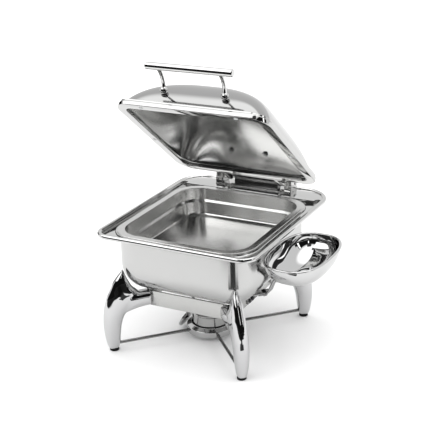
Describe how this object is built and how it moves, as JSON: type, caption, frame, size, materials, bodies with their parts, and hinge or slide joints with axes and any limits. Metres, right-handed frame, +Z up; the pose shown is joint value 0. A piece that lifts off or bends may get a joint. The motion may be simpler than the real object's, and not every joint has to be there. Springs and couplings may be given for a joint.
{
  "type": "chafing dish food warmer",
  "caption": "Chafing dish food warmer: hinged domed lid over a food pan in a water basin, on a four-leg stand with a fuel burner below and a spoon bowl at the side.",
  "frame": {"origin": "on the floor under the middle of the overall box with the lid at its rest angle", "axes": "+Z up, the handle side faces -Y, the hinge is at +Y, the spoon bowl is on +X"},
  "size_m": [0.4873, 0.4544, 0.6241],
  "materials": {
    "leg_chrome": "mirror-polished cast legs",
    "foot_rubber": "black pads",
    "rail_steel": "satin flat bar",
    "rod_steel": "satin round rod",
    "burner_steel": "spun stainless, lightly polished",
    "fastener_steel": "plain stainless fasteners",
    "bowl_mirror": "mirror-polished pressed bowl",
    "bracket_steel": "satin strap",
    "dark_fastener": "dark bolts and nuts",
    "basin_steel": "satin deep-drawn tub",
    "flange_chrome": "polished rolled edge and gutter",
    "pan_steel": "brushed food pan",
    "hinge_steel": "polished hinge blocks, arms and barrel",
    "spring_steel": "drawn spring wire",
    "lid_mirror": "mirror-polished dome",
    "rim_chrome": "polished rim band",
    "bumper_rubber": "clear-grey silicone buttons",
    "handle_chrome": "mirror-polished handle"
  },
  "bodies": {
    "stand": {"leg_front_left": "leg_chrome", "leg_front_right": "leg_chrome", "leg_rear_left": "leg_chrome", "leg_rear_right": "leg_chrome", "foot_pads": "foot_rubber", "rail_front": "rail_steel", "rail_rear": "rail_steel", "rail_left": "rail_steel", "rail_right": "rail_steel", "brace_rod_front_left": "rod_steel", "brace_rod_front_right": "rod_steel", "brace_rod_rear_left": "rod_steel", "brace_rod_rear_right": "rod_steel", "burner_holder": "burner_steel", "spoon_bowl": "bowl_mirror", "bracket_arm": "bracket_steel", "spoon_bracket": "bracket_steel", "bracket_bolts": "dark_fastener", "bracket_nuts": "dark_fastener", "bowl_bolts": "dark_fastener"},
    "basin": {"water_basin": "basin_steel", "basin_flange": "flange_chrome", "hinge_base": "hinge_steel", "hinge_block_left": "hinge_steel", "hinge_block_right": "hinge_steel", "hinge_block_screws": "fastener_steel", "hinge_pin": "fastener_steel", "hinge_barrel": "hinge_steel", "torsion_spring": "spring_steel"},
    "pan": {"food_pan": "pan_steel"},
    "lid": {"lid_shell": "lid_mirror", "lid_rim": "rim_chrome", "lid_arm_left": "hinge_steel", "lid_arm_right": "hinge_steel", "lid_arm_screws": "fastener_steel", "lid_bumpers": "bumper_rubber", "lid_bracket": "hinge_steel", "lid_bracket_bolts": "fastener_steel", "lid_bracket_washers": "fastener_steel", "lid_bracket_nuts": "fastener_steel", "handle_bar": "handle_chrome", "handle_post_left": "handle_chrome", "handle_post_right": "handle_chrome", "handle_collars": "handle_chrome", "handle_washers": "fastener_steel", "handle_nuts": "fastener_steel"},
    "burner": {"burner_pot": "burner_steel", "burner_cover_pin": "fastener_steel"},
    "burner_cover": {"burner_cover": "burner_steel"}
  },
  "joints": [
    {"name": "basin_lift", "type": "slide", "parent": "stand", "child": "basin", "axis": [0, 0, 1], "range_m": [0, 0.06]},
    {"name": "pan_lift", "type": "slide", "parent": "basin", "child": "pan", "axis": [0, 0, 1], "range_m": [0, 0.035]},
    {"name": "lid_hinge", "type": "hinge", "parent": "basin", "child": "lid", "pos_m": [-0.05465, 0.20642, 0.2863], "axis": [-1, 0, 0], "range_deg": [-38.8, 51.2]},
    {"name": "burner_lift", "type": "slide", "parent": "stand", "child": "burner", "axis": [0, 0, 1], "range_m": [0, 0.04]},
    {"name": "burner_cover_hinge", "type": "hinge", "parent": "burner", "child": "burner_cover", "pos_m": [-0.09715, -0.04558, 0.0615], "axis": [0, -1, 0], "range_deg": [-240, 0]}
  ]
}
